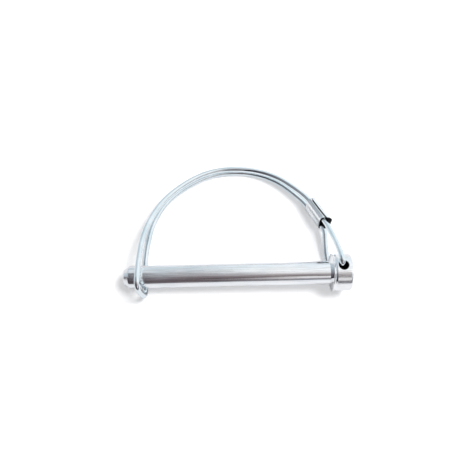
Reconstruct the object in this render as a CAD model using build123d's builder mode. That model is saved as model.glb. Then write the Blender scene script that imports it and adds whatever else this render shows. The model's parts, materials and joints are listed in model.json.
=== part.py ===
from build123d import *
import os
from math import cos, pi, radians, sin, tan

# A round lynch pin: a turned pin with a cross hole through its head, and a spring wire loop that
# swings on that hole and snaps over the far end of the shank. It is modelled lying down, as it
# comes to rest on a table. The origin is on the shank's axis at the foot of the collar.

# Pin, with its lengths measured along its axis from the foot of the collar
shank_diameter = 8.0
shank_length = 72.2
tip_length = 2.0
tip_diameter = 5.0
tip_edge_radius = 0.8
collar_diameter = 13.6
collar_crest = 0.8
collar_crest_radius = 0.25
groove_place = 1.6
groove_depth = 0.3
groove_width = 0.5
head_diameter = 13.0
head_length = 7.55
head_edge_radius = 0.9

# Cross hole through the head
hole_diameter = 3.4
hole_place = 4.25
hole_edge_radius = 0.2

# Wire loop, seen square to its plane
wire_diameter = 2.0
loop_height = 43.9
leg_to_tip = 5.4
peg_depth = 5.4
peg_angle = 142.0
peg_bend_radius = 2.0
bight_lean = 1.6
bend_share = 0.45

# Room between the wire and what it passes
peg_gap = 0.13
collar_gap = 0.05
leg_gap = 0.9
bight_gap = 1.9
arch_gap = 0.4

# Crimped sheet sleeve that holds the two strands together
sleeve_length = 9.0
sleeve_sheet = 0.4
sleeve_spread = 4.8
sleeve_inner_gap = 0.05
sleeve_outer_gap = 0.65
sleeve_seam = 0.35
sleeve_place = 0.5

shank_radius = shank_diameter / 2
head_radius = head_diameter / 2
collar_radius = collar_diameter / 2
hole_radius = hole_diameter / 2
wire_radius = wire_diameter / 2

# Distance of a strand from the loop's middle plane at the head, the legs, the arch and the sleeve
head_side = collar_radius + collar_gap + wire_radius
leg_side = shank_radius + leg_gap + wire_radius
arch_side = wire_radius + arch_gap / 2
sleeve_side = sleeve_spread / 2

# Reach of the loop from the cross hole to its legs, and across the shank to its bight
loop_span = hole_place + shank_length - leg_to_tip
bight_drop = shank_radius + bight_gap + wire_radius

# The peg lies against one side of its hole, where the sprung loop presses it
peg_shift = hole_radius - wire_radius - peg_gap
peg_x = peg_shift * cos(radians(peg_angle))
peg_y = peg_shift * sin(radians(peg_angle))
peg_end = head_radius - peg_depth

# Corners of one strand, from its peg to the bight, measured from the centre of the cross hole
head_bend = Vector(-0.020 * loop_span, 0.091 * loop_height, head_side)
sleeve_low = Vector(-0.058 * loop_span, 0.415 * loop_height, sleeve_side)
sleeve_high = Vector(-0.145 * loop_span, 0.675 * loop_height, sleeve_side)
arch_top = Vector(-0.590 * loop_span, 0.999 * loop_height, arch_side)
leg_bend = Vector(-0.997 * loop_span, 0.066 * loop_height, leg_side)
front = [
    Vector(peg_x, peg_y, peg_end),
    Vector(peg_x, peg_y, head_side),
    head_bend,
    sleeve_low,
    sleeve_high,
    Vector(-0.287 * loop_span, 0.884 * loop_height, 0.70 * sleeve_side + 0.30 * arch_side),
    Vector(-0.430 * loop_span, 0.986 * loop_height, 0.25 * sleeve_side + 0.75 * arch_side),
    arch_top,
    Vector(-0.697 * loop_span, 0.954 * loop_height, arch_side),
    Vector(-0.802 * loop_span, 0.845 * loop_height, arch_side),
    Vector(-0.898 * loop_span, 0.702 * loop_height, arch_side),
    Vector(-0.958 * loop_span, 0.499 * loop_height, 0.70 * arch_side + 0.30 * leg_side),
    Vector(-0.985 * loop_span, 0.287 * loop_height, 0.36 * arch_side + 0.64 * leg_side),
    leg_bend,
    Vector(-loop_span, 0.007 * loop_height, leg_side),
    Vector(bight_lean - loop_span, -bight_drop, leg_side),
]


def mirrored(corner):
    """The same corner on the rear strand."""
    return Vector(corner.X, corner.Y, -corner.Z)


def arc_radius(before, corner, after, reach):
    """Radius of the arc that meets both runs at this reach from their corner."""
    turn = (corner - before).get_angle(after - corner)
    return reach / tan(radians(turn) / 2)


def bend_radius(before, corner, after):
    """Radius of the wire's bend at one corner of the strand."""
    if corner in (sleeve_low, sleeve_high):
        straight = (sleeve_high - sleeve_low).length
        return arc_radius(before, corner, after, (straight - sleeve_length) / 2)
    shorter = min((corner - before).length, (after - corner).length)
    return arc_radius(before, corner, after, bend_share * shorter)


# The bight's own bend takes the end of the last run
bight_radius = leg_side - arch_gap
bight_start = front[-1] + (front[-2] - front[-1]).normalized() * bight_radius
bend_points = front[1:-1] + [bight_start]
bends = [bend_radius(*points) for points in zip(bend_points, bend_points[1:], bend_points[2:])]
strand_radii = [peg_bend_radius] + bends
route = front + [mirrored(corner) for corner in reversed(front)]
route_radii = strand_radii + [bight_radius, bight_radius] + strand_radii[::-1]

# The part rests on its rear strand beside the head and beside the tip, and on the top of the arch
rest_head, rest_leg, rest_top = mirrored(head_bend), mirrored(leg_bend), mirrored(arch_top)
up = (rest_top - rest_head).cross(rest_leg - rest_head).normalized()
along = (Vector(1, 0, 0) - up * up.X).normalized()
across = up.cross(along)
lying = Plane(
    origin=(0, 0, 0),
    x_dir=(along.X, across.X, up.X),
    z_dir=(along.Z, across.Z, up.Z),
)
pin_axis = Axis(lying.origin, lying.x_dir)
hole_plane = lying.shift_origin(lying.from_local_coords((hole_place, 0, 0)))

# Pin: shank with a blunt tip, peaked collar, shallow groove and cylindrical head, in one piece
with BuildPart() as pin:
    with BuildSketch(lying):
        with BuildLine():
            FilletPolyline(
                (-shank_length, 0),
                (-shank_length, tip_diameter / 2),
                (tip_length - shank_length, shank_radius),
                (0, shank_radius),
                (collar_crest, collar_radius),
                (groove_place, head_radius - groove_depth),
                (groove_place + groove_width, head_radius),
                (head_length, head_radius),
                (head_length, 0),
                radius=[
                    tip_edge_radius,
                    tip_edge_radius,
                    0,
                    collar_crest_radius,
                    0,
                    0,
                    head_edge_radius,
                ],
            )
            Line((head_length, 0), (-shank_length, 0))
        make_face()
    revolve(axis=pin_axis)
    with BuildSketch(hole_plane):
        Circle(hole_radius)
    extrude(amount=collar_diameter, both=True, mode=Mode.SUBTRACT)
    rims = pin.edges(Select.LAST).filter_by(GeomType.LINE, reverse=True)
    fillet(rims, radius=hole_edge_radius)
pin.part.label = "pin"

# Wire loop: one spring wire from peg to peg, with both strands and the bight that joins them
with BuildPart() as wire_bail:
    with BuildLine() as wire_path:
        FilletPolyline([hole_plane.from_local_coords(corner) for corner in route], radius=route_radii)
    with BuildSketch(Plane(origin=wire_path.line @ 0, z_dir=wire_path.line % 0)):
        Circle(wire_radius)
    sweep(path=wire_path.line)
wire_bail.part.label = "wire_bail"

# Sleeve: a sheet strip bent round both strands where they run side by side
run_start = hole_plane.from_local_coords(sleeve_low - Vector(0, 0, sleeve_side))
run_end = hole_plane.from_local_coords(sleeve_high - Vector(0, 0, sleeve_side))
run_middle = run_start + (run_end - run_start) * sleeve_place
sleeve_plane = Plane(origin=run_middle, x_dir=lying.z_dir, z_dir=run_end - run_start)
sleeve_end = sleeve_plane.offset(-sleeve_length / 2)
inner_radius = wire_radius + (sleeve_inner_gap + sleeve_outer_gap) / 2
outer_radius = inner_radius + sleeve_sheet
sleeve_shift = (sleeve_outer_gap - sleeve_inner_gap) / 2

with BuildPart() as sleeve:
    with BuildSketch(sleeve_end):
        with Locations((0, sleeve_shift)):
            SlotCenterToCenter(sleeve_spread, 2 * outer_radius)
            SlotCenterToCenter(sleeve_spread, 2 * inner_radius, mode=Mode.SUBTRACT)
            with Locations((sleeve_side + inner_radius, 0)):
                Rectangle(3 * sleeve_sheet, sleeve_seam, mode=Mode.SUBTRACT)
    extrude(amount=sleeve_length)
sleeve.part.label = "sleeve"

os.makedirs("parts", exist_ok=True)
export_step(pin.part, "parts/pin.step")
export_step(wire_bail.part, "parts/wire_bail.step")
export_step(sleeve.part, "parts/sleeve.step")

wire_length = sum(edge.length for edge in wire_path.edges())
print("wire length", round(wire_length, 2), "volume", round(wire_bail.part.volume, 2))
print("section times length", round(pi * wire_radius**2 * wire_length, 2))
print("bend radii", [round(radius, 1) for radius in strand_radii])
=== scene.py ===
# %% [markdown]
# # A round lynch pin with a double-wire loop
# The real object is three pieces of zinc plated steel: a turned pin, one bent spring wire that
# swings on the pin's head, and a small sheet sleeve that holds the wire's two strands together.
# The construction comes from the packed model, which is loaded first and never moved. This
# lesson dresses it: the pin keeps its solid and gets a surface, and the wire and the sleeve are
# made again with finer bends, lips and edges than the construction needs.

# %% Load the construction
import json
from math import cos, pi, radians, sin, tan

import bpy
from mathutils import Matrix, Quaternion, Vector


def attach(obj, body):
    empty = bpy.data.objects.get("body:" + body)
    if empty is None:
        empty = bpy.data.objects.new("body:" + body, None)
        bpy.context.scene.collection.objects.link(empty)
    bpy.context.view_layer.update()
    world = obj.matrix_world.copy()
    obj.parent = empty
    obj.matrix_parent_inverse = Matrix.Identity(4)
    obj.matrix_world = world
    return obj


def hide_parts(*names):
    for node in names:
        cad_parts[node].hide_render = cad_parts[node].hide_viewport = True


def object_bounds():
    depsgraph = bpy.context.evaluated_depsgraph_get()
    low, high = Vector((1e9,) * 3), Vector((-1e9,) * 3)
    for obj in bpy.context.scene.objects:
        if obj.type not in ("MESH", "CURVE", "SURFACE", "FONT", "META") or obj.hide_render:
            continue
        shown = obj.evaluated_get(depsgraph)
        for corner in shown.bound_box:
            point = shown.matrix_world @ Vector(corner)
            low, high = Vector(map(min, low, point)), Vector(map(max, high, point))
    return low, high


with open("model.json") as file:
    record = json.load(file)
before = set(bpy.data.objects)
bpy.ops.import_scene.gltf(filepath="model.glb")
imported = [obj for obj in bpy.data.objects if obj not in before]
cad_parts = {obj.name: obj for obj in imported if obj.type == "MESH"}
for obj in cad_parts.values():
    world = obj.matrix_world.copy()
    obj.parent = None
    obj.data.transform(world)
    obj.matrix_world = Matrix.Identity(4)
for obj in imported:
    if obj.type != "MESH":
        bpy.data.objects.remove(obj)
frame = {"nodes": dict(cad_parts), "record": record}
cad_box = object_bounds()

MM = 0.001
pin = frame["nodes"]["pin"]
table_height = cad_box[0][2]
print("pieces", sorted(frame["nodes"]), "table at", round(table_height / MM, 2), "mm")

# %% [markdown]
# ## The camera
# The photograph looks steeply down on the pin from the side where the shank lies. A perspective
# camera is set by where it stands, what it looks at and how far it rolls about its own axis.
# Euler angles would do too, but a look-at direction is easier to read and to change.

# %% Place the camera
camera_place = Vector((-39.08, -54.46, 191.77)) * MM
camera_aim = Vector((-32.84, 14.52, 0.0)) * MM
camera_roll = radians(4.11)
frame_half_width = 235.0
focal_pixels = 567.5

camera_data = bpy.data.cameras.new("camera")
camera_data.sensor_width = 36.0
camera_data.lens = camera_data.sensor_width * focal_pixels / (2 * frame_half_width)
camera_data.clip_start = 0.005
camera = bpy.data.objects.new("camera", camera_data)
bpy.context.scene.collection.objects.link(camera)
look = (camera_aim - camera_place).to_track_quat("-Z", "Y")
camera.rotation_mode = "QUATERNION"
camera.rotation_quaternion = look @ Quaternion((0, 0, 1), camera_roll)
camera.location = camera_place
bpy.context.scene.camera = camera
print("lens", round(camera_data.lens, 1), "mm")

# %% [markdown]
# ## The table
# A large pale plane lies at the lowest point of the part. It has to look white and still show
# the soft shadows, so its own diffuse colour stays below white, and rays from the camera see a
# little extra glow on top. The glow is the same everywhere, so a shadow keeps its shape, and
# only the faintest shadows wash out, as they do in a bright photograph.


# %% A helper for every material
def new_material(name):
    """An empty node material with its output, as (material, nodes, links, output)."""
    material = bpy.data.materials.new(name)
    material.use_nodes = True
    nodes, links = material.node_tree.nodes, material.node_tree.links
    nodes.clear()
    return material, nodes, links, nodes.new("ShaderNodeOutputMaterial")


print("materials so far", len(bpy.data.materials))


# %% Lay the table
def table_material(colour, glow):
    material, nodes, links, output = new_material("pale_table")
    paper = nodes.new("ShaderNodeBsdfDiffuse")
    paper.inputs["Color"].default_value = (*colour, 1)
    light = nodes.new("ShaderNodeEmission")
    path = nodes.new("ShaderNodeLightPath")
    only_camera = nodes.new("ShaderNodeMath")
    only_camera.operation = "MULTIPLY"
    only_camera.inputs[1].default_value = glow
    both = nodes.new("ShaderNodeAddShader")
    links.new(path.outputs["Is Camera Ray"], only_camera.inputs[0])
    links.new(only_camera.outputs["Value"], light.inputs["Strength"])
    links.new(paper.outputs["BSDF"], both.inputs[0])
    links.new(light.outputs["Emission"], both.inputs[1])
    links.new(both.outputs["Shader"], output.inputs["Surface"])
    return material


table_half = 1.5
table_mesh = bpy.data.meshes.new("table")
corners = [(-table_half, -table_half), (table_half, -table_half)]
corners += [(table_half, table_half), (-table_half, table_half)]
table_mesh.from_pydata([(x, y, table_height) for x, y in corners], [], [(0, 1, 2, 3)])
table = bpy.data.objects.new("table", table_mesh)
bpy.context.scene.collection.objects.link(table)
table_mesh.materials.append(table_material((0.84, 0.835, 0.85), 0.33))
print("table", 2 * table_half, "m square")

# %% [markdown]
# ## The room and the lamp
# The room gives an even, slightly cool light from everywhere. One large soft lamp on the right
# gives the shadows their direction. A sun would cut them too sharply for this picture.


# %% Light the room
def room(bright, ambient):
    """White to the camera and in reflections, a softer level for plain lighting."""
    world = bpy.data.worlds.new("room")
    bpy.context.scene.world = world
    world.use_nodes = True
    nodes, links = world.node_tree.nodes, world.node_tree.links
    nodes.clear()
    output = nodes.new("ShaderNodeOutputWorld")
    back = nodes.new("ShaderNodeBackground")
    path = nodes.new("ShaderNodeLightPath")
    seen = nodes.new("ShaderNodeMath")
    seen.operation = "MAXIMUM"
    through = nodes.new("ShaderNodeMath")
    through.operation = "MAXIMUM"
    level = nodes.new("ShaderNodeMapRange")
    level.inputs["To Min"].default_value = ambient
    level.inputs["To Max"].default_value = bright
    links.new(path.outputs["Is Camera Ray"], seen.inputs[0])
    links.new(path.outputs["Is Glossy Ray"], seen.inputs[1])
    links.new(seen.outputs["Value"], through.inputs[0])
    links.new(path.outputs["Is Transmission Ray"], through.inputs[1])
    links.new(through.outputs["Value"], level.inputs["Value"])
    links.new(level.outputs["Result"], back.inputs["Strength"])
    links.new(back.outputs["Background"], output.inputs["Surface"])
    back.inputs["Color"].default_value = (0.97, 0.99, 1.0, 1)
    return world


room(bright=1.0, ambient=0.34)

lamp_data = bpy.data.lights.new("soft_lamp", "AREA")
lamp_data.shape = "DISK"
lamp_data.size = 0.24
lamp_data.energy = 3.1
lamp = bpy.data.objects.new("soft_lamp", lamp_data)
bpy.context.scene.collection.objects.link(lamp)
lamp.visible_glossy = False
lamp_direction = Vector((0.38, 0.03, 1.0)).normalized()
part_middle = Vector((-32, 12, 0)) * MM
lamp.location = part_middle + lamp_direction * 0.6
lamp.rotation_euler = lamp_direction.to_track_quat("Z", "Y").to_euler()
print("lamp", lamp_data.energy, "W")

# %% [markdown]
# ## The studio that the metal mirrors
# Bright metal shows mostly what stands round it, so this matters more than the lamp. A dome
# stands over the part, and only mirror-like rays see it. Its colour is painted by direction:
# one colour ramp runs from the far horizon over the top to the viewer's horizon, and seven such
# ramps are blended from left to right. Single cards would do for one straight cylinder, but the
# bent wire mirrors every side, and ramps leave no hard card edges on it.

# %% Raise the dome
dome_radius = 0.7
dome_steps = 24
sides = (-0.75, -0.25, -0.21, -0.13, 0.0, 0.13, 0.75)
over = {
    "far_left": ((0.0, (0.55, 0.62, 0.68)), (0.3, (0.45, 0.52, 0.58)), (0.52, (0.44, 0.46, 0.50)),
                 (0.60, (0.33, 0.32, 0.35)), (0.68, (0.20, 0.18, 0.20)), (0.83, (0.13, 0.10, 0.12)),
                 (0.92, (0.03, 0.025, 0.03)), (1.0, (0.05, 0.05, 0.05))),
    "tip": ((0.0, (0.60, 0.68, 0.74)), (0.34, (0.80, 0.84, 0.88)), (0.39, (0.05, 0.04, 0.055)),
            (0.62, (0.02, 0.02, 0.03)), (1.0, (0.02, 0.02, 0.03))),
    "left_end": ((0.0, (0.60, 0.68, 0.74)), (0.26, (0.70, 0.75, 0.78)), (0.5, (0.60, 0.62, 0.65)),
                 (0.6, (0.44, 0.44, 0.47)), (0.72, (0.28, 0.26, 0.28)), (0.83, (0.19, 0.16, 0.17)),
                 (0.9, (0.13, 0.11, 0.12)), (1.0, (0.28, 0.27, 0.29))),
    "left": ((0.0, (0.62, 0.72, 0.78)), (0.15, (0.60, 0.66, 0.70)), (0.34, (0.44, 0.47, 0.50)),
             (0.52, (0.34, 0.33, 0.345)), (0.63, (0.25, 0.22, 0.23)), (0.74, (0.14, 0.11, 0.12)),
             (0.92, (0.10, 0.075, 0.08)), (1.0, (0.33, 0.31, 0.34))),
    "middle": ((0.0, (0.80, 0.88, 0.92)), (0.2, (0.84, 0.90, 0.93)), (0.34, (0.97, 1.0, 1.0)),
               (0.44, (0.90, 0.92, 0.93)), (0.51, (0.64, 0.64, 0.66)), (0.61, (0.48, 0.45, 0.46)),
               (0.68, (0.28, 0.24, 0.25)), (0.78, (0.10, 0.08, 0.085)), (0.83, (0.30, 0.27, 0.28)),
               (0.89, (0.09, 0.07, 0.075)), (0.96, (0.27, 0.26, 0.28)), (1.0, (0.40, 0.40, 0.45))),
    "right": ((0.0, (0.86, 0.93, 0.97)), (0.54, (1.0, 1.0, 1.0)), (0.59, (0.74, 0.72, 0.72)),
              (0.64, (0.44, 0.40, 0.40)), (0.74, (0.17, 0.14, 0.14)), (0.79, (0.85, 0.81, 0.81)),
              (0.86, (0.86, 0.83, 0.84)), (0.91, (0.13, 0.12, 0.13)), (1.0, (0.42, 0.43, 0.47))),
    "far_right": ((0.0, (0.88, 0.95, 1.0)), (0.6, (1.0, 1.0, 1.0)), (0.78, (0.66, 0.70, 0.74)),
                  (0.93, (0.06, 0.06, 0.08)), (1.0, (0.4, 0.4, 0.42))),
}


def dome_material(strength):
    material, nodes, links, output = new_material("studio_dome")
    place = nodes.new("ShaderNodeTexCoord")
    parts = nodes.new("ShaderNodeSeparateXYZ")
    links.new(place.outputs["Object"], parts.inputs["Vector"])
    angle = nodes.new("ShaderNodeMath")
    angle.operation = "ARCTAN2"
    links.new(parts.outputs["Z"], angle.inputs[0])
    links.new(parts.outputs["Y"], angle.inputs[1])
    turn = nodes.new("ShaderNodeMath")
    turn.operation = "DIVIDE"
    turn.inputs[1].default_value = pi
    links.new(angle.outputs["Value"], turn.inputs[0])
    colour = None
    for index, stops in enumerate(over.values()):
        ramp = nodes.new("ShaderNodeValToRGB")
        elements = ramp.color_ramp.elements
        while len(elements) < len(stops):
            elements.new(0.5)
        for element, (position, tone) in zip(elements, stops):
            element.position = position
            element.color = (*tone, 1)
        links.new(turn.outputs["Value"], ramp.inputs["Fac"])
        if colour is None:
            colour = ramp.outputs["Color"]
            continue
        share = nodes.new("ShaderNodeMapRange")
        share.inputs["From Min"].default_value = sides[index - 1] * dome_radius
        share.inputs["From Max"].default_value = sides[index] * dome_radius
        blend = nodes.new("ShaderNodeMix")
        blend.data_type = "RGBA"
        links.new(parts.outputs["X"], share.inputs["Value"])
        links.new(share.outputs["Result"], blend.inputs["Factor"])
        links.new(colour, blend.inputs["A"])
        links.new(ramp.outputs["Color"], blend.inputs["B"])
        colour = blend.outputs["Result"]
    glow = nodes.new("ShaderNodeEmission")
    glow.inputs["Strength"].default_value = strength
    links.new(colour, glow.inputs["Color"])
    links.new(glow.outputs["Emission"], output.inputs["Surface"])
    return material


def half_sphere(name, radius, centre, steps):
    """Half a sphere standing on the table, as one mesh whose object stands at its centre."""
    points, faces = [], []
    for row in range(steps + 1):
        elevation = radians(90 * row / steps)
        for column in range(4 * steps):
            azimuth = radians(90 * column / steps)
            level = radius * cos(elevation)
            points.append((level * cos(azimuth), level * sin(azimuth), radius * sin(elevation)))
    for row in range(steps):
        for column in range(4 * steps):
            following = (column + 1) % (4 * steps)
            low, high = row * 4 * steps, (row + 1) * 4 * steps
            faces.append((low + column, low + following, high + following, high + column))
    mesh = bpy.data.meshes.new(name)
    mesh.from_pydata(points, [], faces)
    obj = bpy.data.objects.new(name, mesh)
    bpy.context.scene.collection.objects.link(obj)
    obj.location = centre
    return obj


dome_centre = (part_middle.x, part_middle.y, table_height)
dome = half_sphere("studio_dome", dome_radius, dome_centre, dome_steps)
dome.data.materials.append(dome_material(1.0))
dome.visible_camera = dome.visible_diffuse = dome.visible_shadow = False
dome.visible_transmission = dome.visible_volume_scatter = False
print("dome", len(dome.data.polygons), "faces")

# %% [markdown]
# ## Marks on zinc plated steel
# Zinc plating is bright but not a mirror: it is a little blue, and its gloss changes from place
# to place in soft clouds. Under it the steel keeps the marks of how it was made: fine lines
# along a drawn bar or wire. Two node groups make these, and each material sets its own sizes.


# %% Build the groups for plated surfaces
def float_sockets(group, given, made):
    for name in given:
        group.interface.new_socket(name, in_out="INPUT", socket_type="NodeSocketFloat")
    for name in made:
        group.interface.new_socket(name, in_out="OUTPUT", socket_type="NodeSocketFloat")
    return group.nodes.new("NodeGroupInput"), group.nodes.new("NodeGroupOutput")


def plating_group():
    """Soft clouds and a fine ripple, from two noises on the object's own coordinates."""
    group = bpy.data.node_groups.new("zinc_plating", "ShaderNodeTree")
    given, result = float_sockets(group, ("Cloud Scale", "Ripple Scale"), ("Cloud", "Ripple"))
    nodes, links = group.nodes, group.links
    place = nodes.new("ShaderNodeTexCoord")
    for name, detail in (("Cloud", 4), ("Ripple", 3)):
        noise = nodes.new("ShaderNodeTexNoise")
        noise.inputs["Detail"].default_value = detail
        links.new(place.outputs["Object"], noise.inputs["Vector"])
        links.new(given.outputs[name + " Scale"], noise.inputs["Scale"])
        links.new(noise.outputs["Fac"], result.inputs[name])
    return group


def drawn_group():
    """Fine lines along the pin's axis: noise squeezed along that axis."""
    group = bpy.data.node_groups.new("drawn_lines", "ShaderNodeTree")
    given, result = float_sockets(group, ("Line Scale",), ("Lines",))
    nodes, links = group.nodes, group.links
    place = nodes.new("ShaderNodeTexCoord")
    squeeze = nodes.new("ShaderNodeMapping")
    squeeze.inputs["Scale"].default_value = (0.035, 1, 1)
    noise = nodes.new("ShaderNodeTexNoise")
    noise.inputs["Detail"].default_value = 5
    noise.inputs["Roughness"].default_value = 0.65
    links.new(place.outputs["Object"], squeeze.inputs["Vector"])
    links.new(squeeze.outputs["Vector"], noise.inputs["Vector"])
    links.new(given.outputs["Line Scale"], noise.inputs["Scale"])
    links.new(noise.outputs["Fac"], result.inputs["Lines"])
    return group


plating = plating_group()
drawn = drawn_group()
print("groups", [group.name for group in (plating, drawn)])


# %% A base for the three steels
def plated_steel(name, light, deep, roughness, cloud_scale, ripple_scale, ripple_height):
    """Plated steel whose colour and gloss drift between two values in soft clouds."""
    material, nodes, links, output = new_material(name)
    metal = nodes.new("ShaderNodeBsdfPrincipled")
    metal.inputs["Metallic"].default_value = 1.0
    marks = nodes.new("ShaderNodeGroup")
    marks.node_tree = plating
    marks.inputs["Cloud Scale"].default_value = cloud_scale
    marks.inputs["Ripple Scale"].default_value = ripple_scale
    tone = nodes.new("ShaderNodeValToRGB")
    tone.color_ramp.elements[0].position = 0.35
    tone.color_ramp.elements[0].color = (*deep, 1)
    tone.color_ramp.elements[1].position = 0.65
    tone.color_ramp.elements[1].color = (*light, 1)
    gloss = nodes.new("ShaderNodeMapRange")
    gloss.inputs["From Min"].default_value = 0.3
    gloss.inputs["From Max"].default_value = 0.7
    gloss.inputs["To Min"].default_value = roughness[0]
    gloss.inputs["To Max"].default_value = roughness[1]
    bump = nodes.new("ShaderNodeBump")
    bump.inputs["Distance"].default_value = ripple_height
    links.new(marks.outputs["Cloud"], tone.inputs["Fac"])
    links.new(tone.outputs["Color"], metal.inputs["Base Color"])
    links.new(marks.outputs["Cloud"], gloss.inputs["Value"])
    links.new(gloss.outputs["Result"], metal.inputs["Roughness"])
    links.new(marks.outputs["Ripple"], bump.inputs["Height"])
    links.new(bump.outputs["Normal"], metal.inputs["Normal"])
    links.new(metal.outputs["BSDF"], output.inputs["Surface"])
    return material


print("a steel is", plated_steel.__doc__)

# %% [markdown]
# ## The loop's own directions
# The wire and the sleeve are drawn in the loop's plane, with its origin in the middle of the
# cross hole: x points along the pin to its head, y to the top of the loop and z towards the
# viewer. The packed record already knows these directions, as the shank's mount and the swing's
# hinge, so they are read from there and not written twice.

# %% Read the loop's directions
swing = frame["record"]["behaviour"]["joints"][0]
shank = frame["record"]["mounts"][0]
along_pin = -Vector(shank["axis"]).normalized()
through_loop = -Vector(swing["axis"]).normalized()
up_loop = through_loop.cross(along_pin).normalized()
hole_middle = Vector(swing["pos_m"])


def in_frame(x, y, z):
    """A place given in the loop's own millimetres, in the frame's metres."""
    return hole_middle + (along_pin * x + up_loop * y + through_loop * z) * MM


print("loop directions", [tuple(round(v, 3) for v in way) for way in (along_pin, up_loop)])

# %% [markdown]
# ## The pin
# The pin was turned from drawn bar. Its construction solid already has the blunt tip, the peaked
# collar, the groove and the cross hole, so it is kept as it is. Its steel shows the bar's drawn
# lines along the shank and a crinkled plating on the head. Inside the cross hole its colour is
# painted black as painted shade, for the shade that falls in the bore.

# %% Give the pin its steel
bore_reach = 1.74 * MM
bore_fade = 0.10 * MM
# The bore's black is painted shade, for the shade inside the cross hole.
painted_bore_shade = (0.012, 0.011, 0.012, 1)
line_brown = (0.12, 0.09, 0.09, 1)


def pin_material():
    return plated_steel(
        "turned_plated_steel",
        light=(0.97, 0.985, 1.0),
        deep=(0.90, 0.935, 0.965),
        roughness=(0.09, 0.17),
        cloud_scale=140,
        ripple_scale=1900,
        ripple_height=0.00004,
    )


def bore_shade_mask(nodes, links):
    """Where the bore's painted shade goes: one inside the cross hole and zero outside, from the
    distance to the hole's axis.
    """
    place = nodes.new("ShaderNodeTexCoord")
    from_middle = nodes.new("ShaderNodeVectorMath")
    from_middle.operation = "SUBTRACT"
    from_middle.inputs[1].default_value = hole_middle
    across = nodes.new("ShaderNodeVectorMath")
    across.operation = "CROSS_PRODUCT"
    across.inputs[1].default_value = through_loop
    distance = nodes.new("ShaderNodeVectorMath")
    distance.operation = "LENGTH"
    mask = nodes.new("ShaderNodeMapRange")
    mask.inputs["From Min"].default_value = bore_reach
    mask.inputs["From Max"].default_value = bore_reach + bore_fade
    mask.inputs["To Min"].default_value = 1.0
    mask.inputs["To Max"].default_value = 0.0
    links.new(place.outputs["Object"], from_middle.inputs[0])
    links.new(from_middle.outputs["Vector"], across.inputs[0])
    links.new(across.outputs["Vector"], distance.inputs[0])
    links.new(distance.outputs["Value"], mask.inputs["Value"])
    return mask.outputs["Result"], place


def head_mask(nodes, links, place):
    """One on the head and zero on the shank, from the place along the pin."""
    along = nodes.new("ShaderNodeVectorMath")
    along.operation = "DOT_PRODUCT"
    along.inputs[1].default_value = along_pin
    mask = nodes.new("ShaderNodeMapRange")
    mask.inputs["From Min"].default_value = 0.5 * MM
    mask.inputs["From Max"].default_value = 2.2 * MM
    links.new(place.outputs["Object"], along.inputs[0])
    links.new(along.outputs["Value"], mask.inputs["Value"])
    return mask.outputs["Result"]


def dress_pin():
    """The pin's steel: drawn lines on the shank, a crinkle on the head and painted shade in the
    bore.
    """
    material = pin_material()
    nodes, links = material.node_tree.nodes, material.node_tree.links
    metal = next(node for node in nodes if node.type == "BSDF_PRINCIPLED")
    bump = next(node for node in nodes if node.type == "BUMP")
    bore, place = bore_shade_mask(nodes, links)
    head = head_mask(nodes, links, place)
    lines = nodes.new("ShaderNodeGroup")
    lines.node_tree = drawn
    lines.inputs["Line Scale"].default_value = 2200
    drawn_bump = nodes.new("ShaderNodeBump")
    drawn_bump.inputs["Distance"].default_value = 0.00002
    links.new(lines.outputs["Lines"], drawn_bump.inputs["Height"])
    links.new(drawn_bump.outputs["Normal"], bump.inputs["Normal"])
    crinkle = nodes.new("ShaderNodeMapRange")
    crinkle.inputs["To Min"].default_value = 0.12
    crinkle.inputs["To Max"].default_value = 1.0
    links.new(head, crinkle.inputs["Value"])
    links.new(crinkle.outputs["Result"], bump.inputs["Strength"])
    tone = metal.inputs["Base Color"].links[0].from_socket
    worn = nodes.new("ShaderNodeMapRange")
    worn.inputs["From Min"].default_value = 0.38
    worn.inputs["From Max"].default_value = 0.56
    worn.inputs["To Min"].default_value = 0.84
    links.new(lines.outputs["Lines"], worn.inputs["Value"])
    lined = nodes.new("ShaderNodeMix")
    lined.data_type = "RGBA"
    lined.inputs["A"].default_value = line_brown
    links.new(worn.outputs["Result"], lined.inputs["Factor"])
    links.new(tone, lined.inputs["B"])
    tone = lined.outputs["Result"]
    # Painted shade: inside the bore the colour is mixed to black, for the shade in the hole.
    blacken = nodes.new("ShaderNodeMix")
    blacken.data_type = "RGBA"
    blacken.inputs["B"].default_value = painted_bore_shade
    links.new(bore, blacken.inputs["Factor"])
    links.new(tone, blacken.inputs["A"])
    links.new(blacken.outputs["Result"], metal.inputs["Base Color"])
    gloss = metal.inputs["Roughness"].links[0].from_socket
    dull = nodes.new("ShaderNodeMix")
    dull.inputs["B"].default_value = 0.6
    links.new(bore, dull.inputs["Factor"])
    links.new(gloss, dull.inputs["A"])
    links.new(dull.outputs["Result"], metal.inputs["Roughness"])
    return material


pin_steel = dress_pin()
pin.data.materials.clear()
pin.data.materials.append(pin_steel)
print("pin", len(pin.data.polygons), "faces in", pin_steel.name)

# %% [markdown]
# ## The wire loop
# The loop is one length of 2 mm spring wire, bent in a jig: from a peg in the cross hole it runs
# up one side, over the arch, down the leg, across under the pin's tip and back the same way on
# the other side. A shape that follows a path is made with Geometry Nodes: a curve holds the
# corners, a Fillet Curve node rounds each by its own radius, and Curve to Mesh draws the wire.
# Between them a Blur Attribute node eases the arch, where the wire sprang a little after its
# bending. A bevelled curve object could do it too, but its corners could not have a radius each.
#
# A hand-bent loop is never quite even, so each strand has corners of its own. They are listed
# in millimetres from the peg to the bight.

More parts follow.
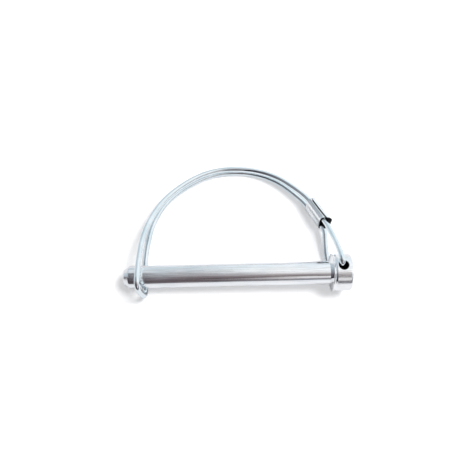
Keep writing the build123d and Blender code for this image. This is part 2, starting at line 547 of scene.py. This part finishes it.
# %% Mark the corners of the route
head_side, sleeve_side, arch_side, leg_side = 7.85, 2.4, 1.2, 5.9
near_corners = [
    (-0.45, 0.35, 1.1),
    (-0.45, 0.35, head_side),
    (-0.95, 4.2, head_side),
    (-1.85, 9.6, 5.85),
    (-3.68, 18.46, sleeve_side),
    (-9.86, 29.87, sleeve_side),
    (-20.10, 39.30, 2.04),
    (-30.50, 43.45, 1.5),
    (-41.92, 43.86, arch_side),
    (-49.41, 41.66, arch_side),
    (-56.84, 36.95, arch_side),
    (-63.64, 30.70, arch_side),
    (-68.00, 21.90, 2.61),
    (-70.30, 12.60, 4.21),
    (-70.75, 2.90, leg_side),
    (-70.95, -6.60, leg_side),
]
far_corners = [
    (-0.45, 0.35, -1.1),
    (-0.45, 0.35, 0.03 - head_side),
    (-2.80, 4.30, 0.07 - head_side),
    (-3.75, 10.60, -5.40),
    (-3.80, 18.40, -sleeve_side),
    (-9.86, 29.87, -sleeve_side),
    (-19.90, 39.70, -1.6),
    (-30.45, 43.72, -1.2),
    (-41.92, 43.75, -arch_side),
    (-49.25, 41.35, -arch_side),
    (-56.75, 36.86, -arch_side),
    (-63.44, 30.55, -arch_side),
    (-67.95, 21.90, -2.61),
    (-69.80, 12.55, -4.21),
    (-70.35, 2.90, -leg_side),
    (-69.30, -6.00, -leg_side),
]
peg_bend, near_bight, far_bight = 2.0, 3.6, 4.4
bend_share = 0.45
sleeve_length = 9.0
run_start, run_end = 4, 5


def arc_radius(before, corner, after, reach):
    """Radius of the arc that meets both runs at this reach from their corner."""
    return reach / tan((corner - before).angle(after - corner) / 2)


def bend_radii(points, bight_bend):
    """A radius for each corner: the arc takes its share of the shorter run beside it."""
    bight_start = points[-1] + (points[-2] - points[-1]).normalized() * bight_bend
    ends = points[:-1] + [bight_start]
    sleeve_run = (points[run_end] - points[run_start]).length
    radii = [0.0, peg_bend]
    for place in range(2, len(points) - 1):
        before, corner, after = ends[place - 1 : place + 2]
        reach = bend_share * min((corner - before).length, (after - corner).length)
        if place in (run_start, run_end):
            reach = (sleeve_run - sleeve_length) / 2
        radii.append(arc_radius(before, corner, after, reach))
    return radii + [bight_bend]


near_strand = [Vector(corner) for corner in near_corners]
far_strand = [Vector(corner) for corner in far_corners]
near_bends = bend_radii(near_strand, near_bight)
route = near_strand + far_strand[::-1]
route_bends = near_bends + bend_radii(far_strand, far_bight)[::-1]
print("bends", [round(radius, 1) for radius in near_bends])


# %% Build the tree that bends the wire
wire_inputs = {
    "Route": "Geometry",
    "Wire Radius": "Float",
    "Points per Bend": "Int",
    "Points Round": "Int",
    "Step": "Float",
    "Ease": "Int",
    "Jig Height": "Float",
    "Arch Height": "Float",
    "Wander": "Float",
    "Seed": "Float",
    "Steel": "Material",
}


def wire_tree():
    """Rounds a route's corners, eases it above the jig and draws the wire along it."""
    tree = bpy.data.node_groups.new("bent_wire", "GeometryNodeTree")
    for name, kind in wire_inputs.items():
        tree.interface.new_socket(name, in_out="INPUT", socket_type="NodeSocket" + kind)
    tree.interface.new_socket("Wire", in_out="OUTPUT", socket_type="NodeSocketGeometry")
    nodes, links = tree.nodes, tree.links
    given = nodes.new("NodeGroupInput")
    result = nodes.new("NodeGroupOutput")
    bend = nodes.new("GeometryNodeInputRadius")
    rounded = nodes.new("GeometryNodeFilletCurve")
    rounded.mode = "POLY"
    even = nodes.new("GeometryNodeResampleCurve")
    even.mode = "LENGTH"
    unit = nodes.new("GeometryNodeSetCurveRadius")
    unit.inputs["Radius"].default_value = 1.0
    noise = nodes.new("ShaderNodeTexNoise")
    noise.noise_dimensions = "4D"
    noise.inputs["Scale"].default_value = 90
    centred = nodes.new("ShaderNodeVectorMath")
    centred.operation = "SUBTRACT"
    centred.inputs[1].default_value = (0.5, 0.5, 0.5)
    offset = nodes.new("ShaderNodeVectorMath")
    offset.operation = "SCALE"
    place = nodes.new("GeometryNodeInputPosition")
    parts = nodes.new("ShaderNodeSeparateXYZ")
    high = nodes.new("ShaderNodeMapRange")
    eased = nodes.new("GeometryNodeBlurAttribute")
    eased.data_type = "FLOAT_VECTOR"
    smooth = nodes.new("GeometryNodeSetPosition")
    moved = nodes.new("GeometryNodeSetPosition")
    ring = nodes.new("GeometryNodeCurvePrimitiveCircle")
    swept = nodes.new("GeometryNodeCurveToMesh")
    swept.inputs["Fill Caps"].default_value = True
    real = nodes.new("GeometryNodeRealizeInstances")
    steel = nodes.new("GeometryNodeSetMaterial")
    links.new(given.outputs["Route"], rounded.inputs["Curve"])
    links.new(bend.outputs["Radius"], rounded.inputs["Radius"])
    links.new(given.outputs["Points per Bend"], rounded.inputs["Count"])
    links.new(rounded.outputs["Curve"], even.inputs["Curve"])
    links.new(given.outputs["Step"], even.inputs["Length"])
    links.new(place.outputs["Position"], parts.inputs["Vector"])
    links.new(parts.outputs["Y"], high.inputs["Value"])
    links.new(given.outputs["Jig Height"], high.inputs["From Min"])
    links.new(given.outputs["Arch Height"], high.inputs["From Max"])
    links.new(high.outputs["Result"], eased.inputs["Weight"])
    links.new(given.outputs["Ease"], eased.inputs["Iterations"])
    links.new(place.outputs["Position"], eased.inputs["Value"])
    links.new(even.outputs["Curve"], smooth.inputs["Geometry"])
    links.new(eased.outputs["Value"], smooth.inputs["Position"])
    links.new(smooth.outputs["Geometry"], unit.inputs["Curve"])
    links.new(given.outputs["Seed"], noise.inputs["W"])
    links.new(noise.outputs["Color"], centred.inputs[0])
    links.new(centred.outputs["Vector"], offset.inputs[0])
    links.new(given.outputs["Wander"], offset.inputs["Scale"])
    links.new(unit.outputs["Curve"], moved.inputs["Geometry"])
    links.new(offset.outputs["Vector"], moved.inputs["Offset"])
    links.new(given.outputs["Points Round"], ring.inputs["Resolution"])
    links.new(given.outputs["Wire Radius"], ring.inputs["Radius"])
    links.new(moved.outputs["Geometry"], swept.inputs["Curve"])
    links.new(ring.outputs["Curve"], swept.inputs["Profile Curve"])
    links.new(swept.outputs["Mesh"], real.inputs["Geometry"])
    links.new(real.outputs["Geometry"], steel.inputs["Geometry"])
    links.new(given.outputs["Steel"], steel.inputs["Material"])
    links.new(steel.outputs["Geometry"], result.inputs["Wire"])
    return tree


def set_inputs(modifier, values):
    """Sets a modifier's inputs by the identifiers of the tree's sockets."""
    for item in modifier.node_group.interface.items_tree:
        if item.item_type == "SOCKET" and item.in_out == "INPUT" and item.name in values:
            modifier[item.identifier] = values[item.name]


def as_mesh(obj, name):
    """The evaluated shape as a plain mesh object at the origin, instead of the first object."""
    bpy.context.view_layer.update()
    depsgraph = bpy.context.evaluated_depsgraph_get()
    mesh = bpy.data.meshes.new_from_object(obj.evaluated_get(depsgraph), depsgraph=depsgraph)
    mesh.name = name
    bpy.data.objects.remove(obj)
    made = bpy.data.objects.new(name, mesh)
    bpy.context.scene.collection.objects.link(made)
    return made


def enclosed_volume(mesh):
    """Volume inside a closed mesh: positive when its faces point outwards."""
    mesh.calc_loop_triangles()
    total = 0.0
    for triangle in mesh.loop_triangles:
        first, second, third = (mesh.vertices[index].co for index in triangle.vertices)
        total += first.dot(second.cross(third)) / 6
    return total


bent_wire = wire_tree()
print("tree", bent_wire.name, "with", len(bent_wire.nodes), "nodes")

# %% [markdown]
# The wire's steel is a little darker and bluer than the pin's, because its plating is thinner.
# The route goes into a curve whose points carry the bend radii, the tree turns it into a mesh,
# and the mesh stands for the construction's wire and swings with the loop.

# %% Bend the wire
wire_steel = plated_steel(
    "plated_spring_wire",
    light=(0.90, 0.96, 0.985),
    deep=(0.76, 0.86, 0.90),
    roughness=(0.05, 0.12),
    cloud_scale=160,
    ripple_scale=500,
    ripple_height=0.000006,
)
route_data = bpy.data.curves.new("wire_route", "CURVE")
route_data.dimensions = "3D"
spline = route_data.splines.new("POLY")
spline.points.add(len(route) - 1)
for point, corner, radius in zip(spline.points, route, route_bends):
    point.co = (*in_frame(*corner), 1)
    point.radius = radius * MM
wire_draft = bpy.data.objects.new("wire_draft", route_data)
bpy.context.scene.collection.objects.link(wire_draft)
bending = wire_draft.modifiers.new("bend", "NODES")
bending.node_group = bent_wire
wire_sizes = {
    "Wire Radius": 1.0 * MM,
    "Points per Bend": 14,
    "Points Round": 40,
    "Step": 0.6 * MM,
    "Ease": 30,
    "Jig Height": 20 * MM,
    "Arch Height": 32 * MM,
    "Wander": 0.06 * MM,
    "Seed": 3.0,
    "Steel": wire_steel,
}
set_inputs(bending, wire_sizes)
wire_loop = as_mesh(wire_draft, "wire_loop")
for face in wire_loop.data.polygons:
    face.use_smooth = len(face.vertices) == 4
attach(wire_loop, "bail")
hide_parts("wire_bail")
volume = enclosed_volume(wire_loop.data) / MM**3
print("wire", len(wire_loop.data.polygons), "faces", round(volume, 1), "mm3")

# %% [markdown]
# ## The sleeve
# The sleeve is a strip of thin sheet, wrapped round both strands and pressed shut with its ends
# meeting in an open seam on the viewer's side. At the end by the head its mouth stands open and
# shows its inside, painted dark as painted shade. The strip's middle surface is laid out ring
# by ring, a Solidify modifier gives it its thickness and its two faces their own steels, and a
# Bevel modifier breaks the edges. A solid slot with a hole would look too perfect.

# %% Wrap the sleeve
sheet = 0.4
seam_gap = 0.42
strand_room = 1.38
sleeve_shift = 0.24
mouth_shift = 0.14
mouth_flare = 0.26
mouth_flare_far = 0.05
mouth_drop = 0.55
mouth_lean = 0.62
lip_flare = 0.08
lip_share = 0.10
top_lip_share = 0.08
press_depth = 0.22
edge_width = 0.07
run_low, run_high = near_strand[run_start], near_strand[run_end]
run_way = (run_high - run_low).normalized()
run_out = Vector((run_way.y, -run_way.x, 0))
run_middle = (run_low + run_high) / 2 - Vector((0, 0, sleeve_side))


def ring_point(turn, near_radius, far_radius, shift, press):
    """A point round the strip, as (outwards, towards the viewer), for a turn from 0 to 1.

    The turn starts at the seam, passes the outer face, the far strand and the inner face, and
    comes back to the seam.
    """
    quarter = pi / 2
    seam_turn = seam_gap / 2 / near_radius
    arc_out = (quarter - seam_turn) * near_radius
    flat = 2 * sleeve_side
    arc_far = pi * far_radius
    lengths = (arc_out, flat, arc_far, flat, arc_out)
    place = turn * sum(lengths)
    for index, length in enumerate(lengths):
        if place <= length or index == 4:
            break
        place -= length
    share = min(max(place / length, 0.0), 1.0)
    if index == 0:
        angle = seam_turn + share * (quarter - seam_turn)
        return shift + near_radius * sin(angle), sleeve_side + near_radius * cos(angle)
    if index == 1:
        radius = near_radius + (far_radius - near_radius) * share
        sag = press * sin(pi * share) ** 2
        return shift + radius - sag, sleeve_side * (1 - 2 * share)
    if index == 2:
        angle = quarter + share * pi
        return shift + far_radius * sin(angle), -sleeve_side + far_radius * cos(angle)
    if index == 3:
        radius = far_radius + (near_radius - far_radius) * share
        sag = press * sin(pi * share) ** 2
        return shift - radius + sag, sleeve_side * (2 * share - 1)
    angle = quarter - share * (quarter - seam_turn)
    return shift - near_radius * sin(angle), sleeve_side + near_radius * cos(angle)


def sleeve_sheet_mesh(rings, around):
    """The strip's middle surface, ring by ring from the open mouth to the upper end."""
    points, faces = [], []
    radius = strand_room + sheet / 2
    for ring in range(rings + 1):
        share = ring / rings
        opening = (1 - share) ** 3
        mouth_lip = max(0.0, 1 - share / lip_share) ** 2
        top_lip = max(0.0, (share - 1 + top_lip_share) / top_lip_share) ** 2
        lip = lip_flare * (mouth_lip + 0.5 * top_lip)
        near_radius = radius + mouth_flare * opening + lip
        far_radius = radius + mouth_flare_far * opening + lip
        shift = sleeve_shift + mouth_shift * opening
        press = press_depth * sin(pi * share) ** 0.5 if 0 < share < 1 else 0.0
        middle = run_middle + run_way * sleeve_length * (share - 0.5)
        for step in range(around + 1):
            out, towards = ring_point(step / around, near_radius, far_radius, shift, press)
            drop = opening * max(0.0, mouth_drop + mouth_lean * out)
            place = middle + run_out * out + Vector((0, 0, towards)) - run_way * drop
            points.append(in_frame(*place))
    row = around + 1
    for ring in range(rings):
        for step in range(around):
            first = ring * row + step
            faces.append((first, first + row, first + row + 1, first + 1))
    mesh = bpy.data.meshes.new("sleeve_strip")
    mesh.from_pydata(points, [], faces)
    return mesh


sleeve_steel = plated_steel(
    "plated_sheet",
    light=(0.97, 0.99, 1.0),
    deep=(0.88, 0.93, 0.96),
    roughness=(0.20, 0.30),
    cloud_scale=220,
    ripple_scale=380,
    ripple_height=0.00002,
)
# The inside's near-black steel is painted shade, for the shade inside the sleeve's mouth.
sleeve_painted_shade_inside = plated_steel(
    "sheet_inside_painted_shade",
    light=(0.05, 0.05, 0.055),
    deep=(0.02, 0.02, 0.025),
    roughness=(0.45, 0.6),
    cloud_scale=220,
    ripple_scale=380,
    ripple_height=0.00002,
)
strip = bpy.data.objects.new("sleeve_strip", sleeve_sheet_mesh(36, 96))
bpy.context.scene.collection.objects.link(strip)
strip.data.materials.append(sleeve_painted_shade_inside)
strip.data.materials.append(sleeve_steel)
thick = strip.modifiers.new("sheet", "SOLIDIFY")
thick.thickness = sheet * MM
thick.offset = 0.0
thick.material_offset = 1
broken = strip.modifiers.new("edges", "BEVEL")
broken.width = edge_width * MM
broken.segments = 3
broken.limit_method = "ANGLE"
broken.angle_limit = radians(50)
crimped_sleeve = as_mesh(strip, "crimped_sleeve")
for face in crimped_sleeve.data.polygons:
    face.use_smooth = True
volume = enclosed_volume(crimped_sleeve.data) / MM**3
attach(crimped_sleeve, "bail")
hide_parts("sleeve")
print("sleeve", len(crimped_sleeve.data.polygons), "faces", round(volume, 1), "mm3")

# %% [markdown]
# ## Finish
# The colours are shown as they are written, with the plain view transform.

# %% Finish
bpy.context.scene.view_settings.view_transform = "Standard"
